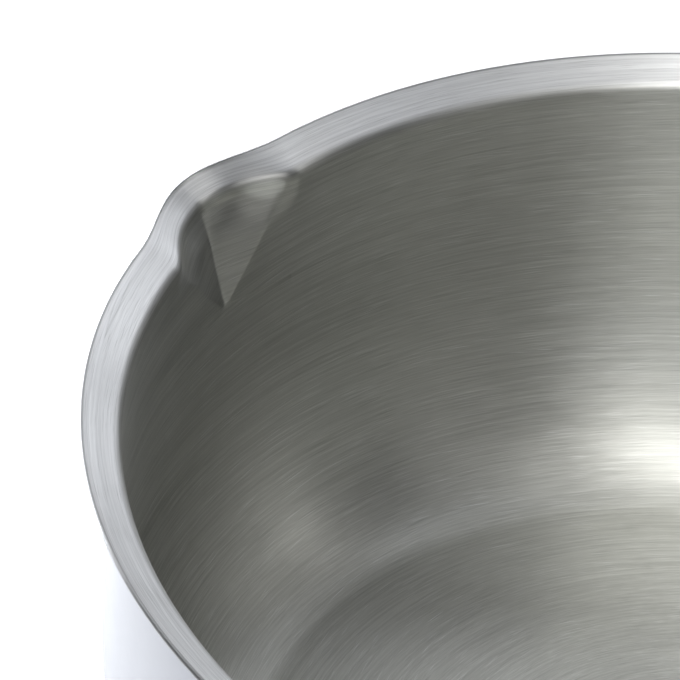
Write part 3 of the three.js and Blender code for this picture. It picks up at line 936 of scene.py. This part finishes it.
def soft_light(name, azimuth, elevation, width, height, power, tint):
    """Soft box that looks at the middle of the rim.

    Its azimuth counts from the beak's side, as the camera's does, and its angles are in degrees.
    """
    target = Vector((0, 0, RIM_HEIGHT))
    turn = math.radians(azimuth)
    rise = math.radians(elevation)
    away = Vector((math.sin(turn) * math.cos(rise), -math.cos(turn) * math.cos(rise), math.sin(rise)))
    data = bpy.data.lights.new(name, "AREA")
    data.shape = "RECTANGLE"
    data.size = width
    data.size_y = height
    data.energy = power
    data.color = tint
    light = bpy.data.objects.new(name, data)
    light.location = target + LIGHT_DISTANCE * away
    light.rotation_mode = "QUATERNION"
    light.rotation_quaternion = (-away).to_track_quat("-Z", "Y")
    light.visible_camera = False
    bpy.context.scene.collection.objects.link(light)


def room_light():
    world = bpy.data.worlds.new("room")
    world.use_nodes = True
    background = world.node_tree.nodes["Background"]
    background.inputs["Color"].default_value = ROOM_WHITE
    background.inputs["Strength"].default_value = ROOM_STRENGTH
    bpy.context.scene.world = world


def studio():
    room_light()
    soft_light("key", 118, 62, 1.2, 0.7, 9.5, WARM_WHITE)
    soft_light("key_edge", 152, 50, 0.35, 0.9, 2.1, WARM_WHITE)
    soft_light("key_high", 152, 82, 0.35, 0.4, 3.2, WARM_WHITE)
    soft_light("key_end", 178, 55, 0.4, 0.6, 0.9, WARM_WHITE)
    soft_light("front", 35, 62, 1.1, 0.7, 3, WARM_WHITE)
    soft_light("gap", 188, 36, 0.35, 0.35, 0.4, WARM_WHITE)
    soft_light("gap_top", 200, 66, 0.3, 0.4, 0.3, WARM_WHITE)
    soft_light("band", 222, 27, 0.2, 0.4, 0.72, WARM_WHITE)
    soft_light("strip", 238, 29, 0.18, 0.35, 0.36, WARM_WHITE)
    soft_light("strip_up", 238, 47, 0.2, 0.4, 0.24, WARM_WHITE)
    soft_light("rim_top", 248, 57, 0.3, 0.3, 0.45, COOL_WHITE)
    soft_light("side_top", 250, 68, 0.4, 0.35, 0.35, COOL_WHITE)
    soft_light("side_high", 283, 62, 0.35, 0.35, 0.25, COOL_WHITE)
    soft_light("side_up", 285, 45, 0.3, 0.3, 0.55, COOL_WHITE)
    soft_light("side_mid", 270, 44, 0.35, 0.3, 0.76, COOL_WHITE)
    soft_light("side_rise", 264, 31, 0.3, 0.25, 0.46, COOL_WHITE)
    soft_light("side", 262, 20, 0.3, 0.25, 0.56, COOL_WHITE)
    soft_light("side_low", 273, 15, 0.3, 0.3, 0.52, COOL_WHITE)
    soft_light("side_back", 292, 24, 0.3, 0.5, 0.85, COOL_WHITE)
    soft_light("back", 325, 40, 0.9, 0.7, 4, COOL_WHITE)
    soft_light("back_low", 335, 11, 1.7, 0.55, 50, COOL_WHITE)
    bpy.context.scene.view_settings.view_transform = "Standard"


def photo_camera():
    rise = CAMERA_ELEVATION
    place = Vector((0, -math.cos(rise), math.sin(rise))) * CAMERA_DISTANCE
    ahead = Vector((0, math.cos(rise), -math.sin(rise)))
    right = Vector((1, 0, 0))
    up = right.cross(ahead)
    yaw = Matrix.Rotation(-CAMERA_YAW, 3, up)
    ahead = yaw @ ahead
    right = yaw @ right
    pitch = Matrix.Rotation(CAMERA_PITCH, 3, right)
    ahead = pitch @ ahead
    up = pitch @ up
    roll = Matrix.Rotation(CAMERA_ROLL, 3, ahead)
    right = roll @ right
    up = roll @ up
    axes = Matrix((right, up, -ahead)).transposed().to_4x4()
    rim_middle = Matrix.Translation((0, 0, RIM_HEIGHT))
    round_pot = Matrix.Rotation(CAMERA_AZIMUTH, 4, "Z")
    data = bpy.data.cameras.new("camera")
    data.sensor_width = SENSOR_WIDTH
    data.lens = CAMERA_LENS
    data.clip_start = CAMERA_NEAR
    camera = bpy.data.objects.new("camera", data)
    camera.matrix_world = rim_middle @ round_pot @ Matrix.Translation(place) @ axes
    bpy.context.scene.collection.objects.link(camera)
    bpy.context.scene.camera = camera


steel = brushed_steel()
enamel = white_enamel()
polished = polished_steel()
wood = turned_wood()
pot_body(steel)
white_coat(enamel)
base_plate(steel)
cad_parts["heat_spreader"].data.materials[0] = rolled_aluminium()
handle("right", 1, wood, enamel, polished)
handle("left", -1, wood, enamel, polished)
pale_floor()
studio()
photo_camera()
